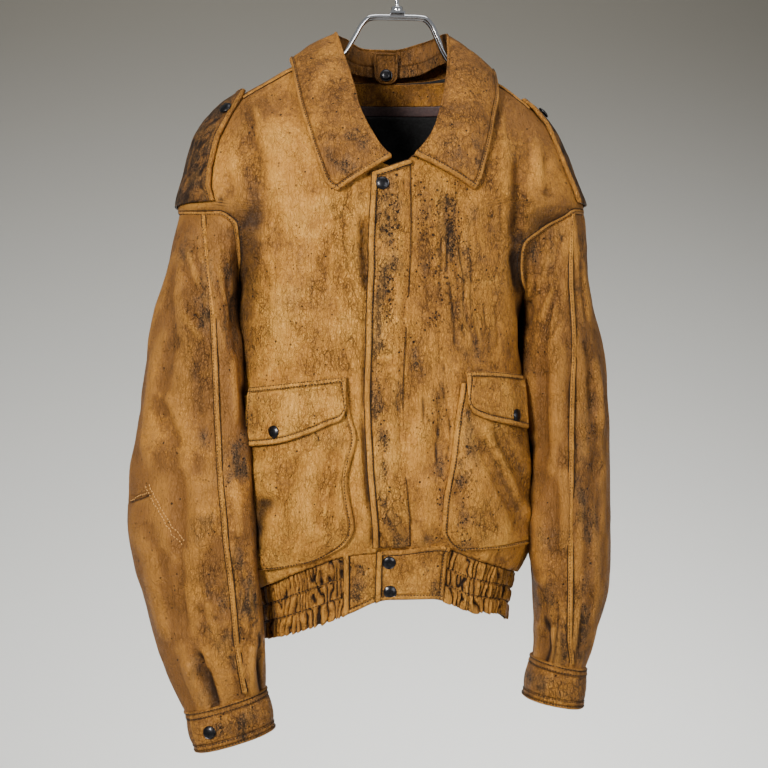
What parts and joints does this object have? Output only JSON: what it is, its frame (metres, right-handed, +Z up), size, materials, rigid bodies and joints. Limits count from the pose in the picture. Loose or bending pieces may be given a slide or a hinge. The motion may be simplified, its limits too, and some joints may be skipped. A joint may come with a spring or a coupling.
{
  "type": "leather jacket on a wire hanger",
  "caption": "Worn tan leather blouson with a storm flap, bellows pockets, epaulettes and a gathered waistband, hung open-necked on a chrome wire hanger.",
  "frame": {"origin": "inside top of the hanger's hook, the point the whole thing hangs from", "axes": "+Z up, -Y is the jacket's front, +X towards the wearer's left sleeve"},
  "size_m": [0.5837, 0.2552, 0.9687],
  "materials": {
    "leather": "worn tan hide, smooth side out, darkened and pitted, soft sheen",
    "leather_inside": "dark brown facing leather",
    "lining": "near-black woven lining",
    "snap_metal": "polished gunmetal black",
    "chrome": "bright chrome plate"
  },
  "bodies": {
    "root": {"back": "leather", "collar_fall": "leather", "collar_stand": "leather", "cuff_left": "leather", "cuff_right": "leather", "epaulette_left": "leather", "epaulette_right": "leather", "front_left": "leather", "front_right": "leather", "hanger_hook": "chrome", "hanger_nut": "chrome", "hanger_saddle": "chrome", "hanger_wire": "chrome", "lining_back": "lining", "lining_band": "lining", "neck_facing": "leather_inside", "neck_tab": "leather_inside", "pocket_bag_left": "leather", "pocket_bag_right": "leather", "pocket_flap_left": "leather", "pocket_flap_right": "leather", "sleeve_left_top": "leather", "sleeve_left_under": "leather", "sleeve_right_top": "leather", "sleeve_right_under": "leather", "sleeve_welt_left": "leather", "sleeve_welt_right": "leather", "snap_cuff_left": "snap_metal", "snap_cuff_right": "snap_metal", "snap_epaulette_left": "snap_metal", "snap_epaulette_right": "snap_metal", "snap_flap_top": "snap_metal", "snap_neck_tab": "snap_metal", "snap_pocket_left": "snap_metal", "snap_pocket_right": "snap_metal", "snap_waist_lower": "snap_metal", "snap_waist_upper": "snap_metal", "storm_flap": "leather", "waist_gathers_back": "leather", "waist_gathers_left": "leather", "waist_gathers_right": "leather", "waist_plain_right": "leather", "waist_tab_left": "leather"}
  },
  "joints": []
}
